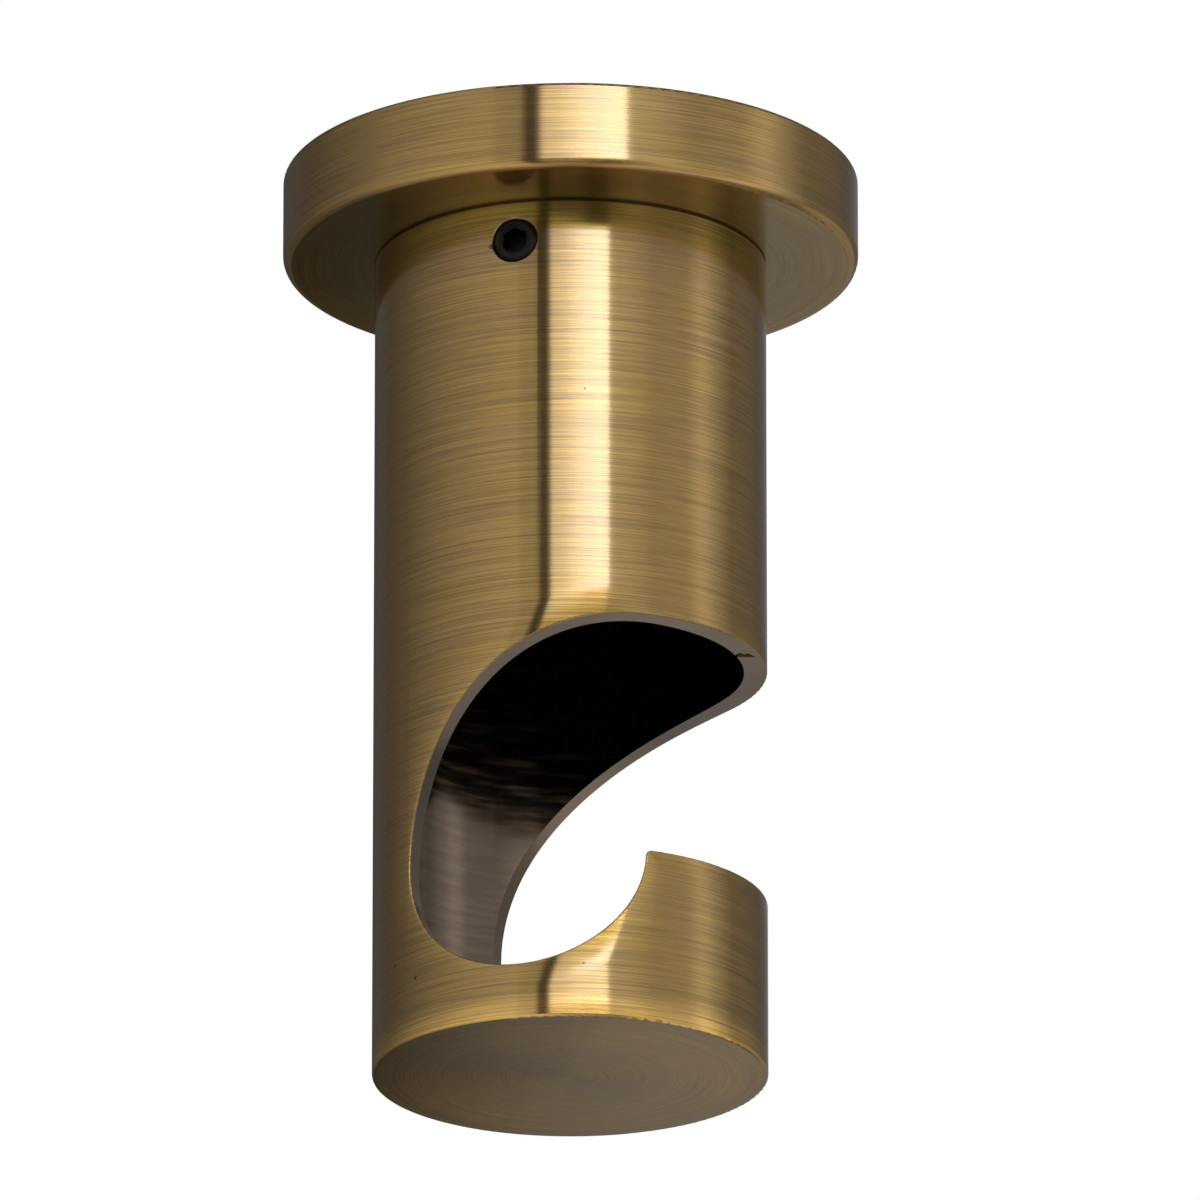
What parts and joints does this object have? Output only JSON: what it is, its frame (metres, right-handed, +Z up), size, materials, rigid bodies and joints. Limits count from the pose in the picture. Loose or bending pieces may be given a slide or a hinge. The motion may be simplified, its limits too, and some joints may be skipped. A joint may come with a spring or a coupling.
{
  "type": "ceiling curtain rod bracket",
  "caption": "Round ceiling plate with a tube below it, cut with a side mouth and a round seat that holds a curtain rod.",
  "frame": {"origin": "centre of the plate's ceiling face", "axes": "+Z up into the ceiling, rod along Y, rod enters from +X, grub screw faces -Y"},
  "size_m": [0.0624, 0.0624, 0.1019],
  "materials": {
    "plate_brass": "antique brass, brushed round the rim and in rings below, lacquered",
    "tube_brass": "antique brass, brushed round the tube, dark satin on cut and inner faces",
    "cap_brass": "antique brass, brushed in rings",
    "blackened_steel": "black oxide, satin"
  },
  "bodies": {
    "root": {"ceiling_plate": "plate_brass", "body_tube": "tube_brass", "end_cap": "cap_brass", "grub_screw": "blackened_steel"}
  },
  "joints": []
}
